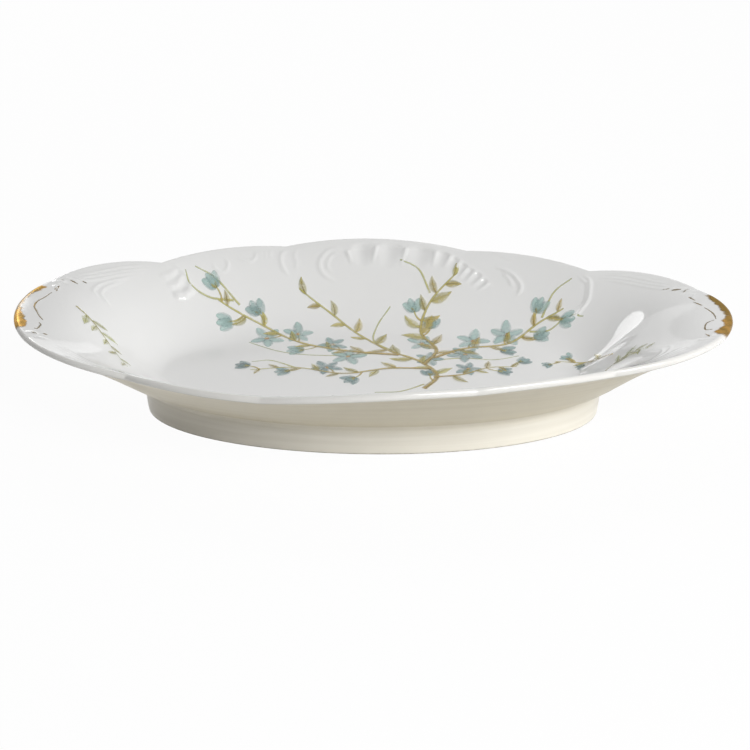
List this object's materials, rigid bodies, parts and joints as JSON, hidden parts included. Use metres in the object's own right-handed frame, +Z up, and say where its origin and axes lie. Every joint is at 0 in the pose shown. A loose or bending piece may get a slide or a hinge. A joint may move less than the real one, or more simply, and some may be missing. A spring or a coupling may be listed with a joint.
{
  "type": "relish dish",
  "caption": "Oval porcelain relish dish with a lobed rim, a shallow well, a luted oval foot ring and gilded tip lobes, for serving pickles and condiments.",
  "frame": {"origin": "middle of the dish in the plane of the foot's standing edge", "axes": "+X along the length to the right tip lobe, +Y across the width to the far side, +Z up out of the well"},
  "size_m": [0.2194, 0.125, 0.0353],
  "materials": {
    "glazed_porcelain": "clear gloss glaze over white porcelain",
    "foot_porcelain": "gloss glaze over warm white porcelain, bare and ground on the standing edge",
    "gilding": "fired gold, bright and worn thin in patches"
  },
  "bodies": {
    "root": {"dish_body": "glazed_porcelain", "foot_ring": "foot_porcelain", "outer_slip_fillet": "foot_porcelain", "inner_slip_fillet": "foot_porcelain", "gilt_tip_right": "gilding", "gilt_tip_left": "gilding"}
  },
  "joints": []
}
